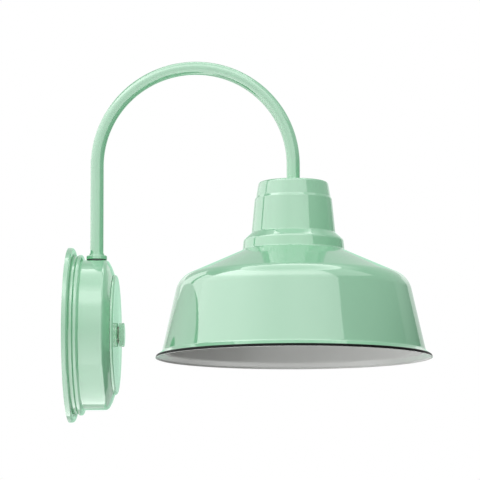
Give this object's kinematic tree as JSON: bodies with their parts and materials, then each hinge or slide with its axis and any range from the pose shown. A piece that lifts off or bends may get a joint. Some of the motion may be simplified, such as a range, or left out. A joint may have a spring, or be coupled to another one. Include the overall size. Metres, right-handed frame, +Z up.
{
  "type": "gooseneck wall sconce",
  "caption": "Wall light with a round canopy, a tube arm bent over in a half-circle and a spun enamelled dome shade facing down, with a screw-in bulb.",
  "frame": {"origin": "centre of the back of the wall plate, on the wall", "axes": "+X out into the room, +Y along the wall, +Z up"},
  "size_m": [0.4668, 0.3556, 0.4682],
  "materials": {
    "mint_enamel": "glossy porcelain enamel",
    "shade_enamel": "glossy porcelain enamel, white inside, black lip edge",
    "foam": "closed-cell foam",
    "black_rubber": "matt",
    "zinc_steel": "zinc plated",
    "green_screw": "green dyed zinc",
    "brass": "bright",
    "nickel": "nickel plated",
    "nylon": "natural nylon",
    "porcelain": "glazed porcelain",
    "wire_black": "insulated wire",
    "wire_white": "insulated wire",
    "wire_green": "insulated wire",
    "nut_plastic": "moulded wire nut",
    "bulb_glass": "frosted white glass",
    "bulb_cap": "rolled thread",
    "bulb_insulator": "black glass",
    "solder": "solder"
  },
  "bodies": {
    "canopy": {"wall_plate": "mint_enamel", "canopy_body": "mint_enamel", "arm_collar": "mint_enamel", "gooseneck_tube": "mint_enamel", "shade": "shade_enamel", "wall_gasket": "foam", "collar_gasket": "black_rubber", "canopy_screws": "zinc_steel", "stud_bridge": "zinc_steel", "bridge_screws": "zinc_steel", "centre_stud": "zinc_steel", "stud_nut": "zinc_steel", "ground_screw": "green_screw", "arm_saddle_washer": "zinc_steel", "arm_lock_nut": "zinc_steel", "tube_bushings": "nylon", "shade_hub": "zinc_steel", "shade_lock_nut": "zinc_steel", "socket_cap": "nickel", "cap_screws": "nickel", "socket_body": "porcelain", "screw_shell": "brass", "centre_contact": "brass", "live_terminal": "brass", "neutral_terminal": "nickel", "terminal_screws": "brass", "wire_nuts": "nut_plastic", "lead_live": "wire_black", "lead_neutral": "wire_white", "earth_lead": "wire_green"},
    "cover": {"front_cover": "mint_enamel", "cover_gasket": "black_rubber"},
    "knob_slider": {"knob_washer": "nylon"},
    "knob": {"cover_knob": "mint_enamel", "knob_retaining_ring": "zinc_steel"},
    "bulb": {"bulb_glass": "bulb_glass", "bulb_screw_cap": "bulb_cap", "bulb_insulator": "bulb_insulator", "bulb_contact": "solder"}
  },
  "joints": [
    {"name": "cover_lift", "type": "slide", "parent": "canopy", "child": "cover", "axis": [1, 0, 0], "range_m": [0, 0.04]},
    {"name": "knob_travel", "type": "slide", "parent": "cover", "child": "knob_slider", "axis": [1, 0, 0], "range_m": [0, 0.0064]},
    {"name": "knob_turn", "type": "hinge", "parent": "knob_slider", "child": "knob", "pos_m": [0.066, 0, 0], "axis": [1, 0, 0], "range_deg": [0, 1800]},
    {"name": "bulb_out", "type": "slide", "parent": "canopy", "child": "bulb", "axis": [0, 0, -1], "range_m": [0, 0.19]}
  ],
  "couplings": [
    {"joint": "knob_travel", "follows": "knob_turn", "m_per_rad": 0.00020213}
  ]
}
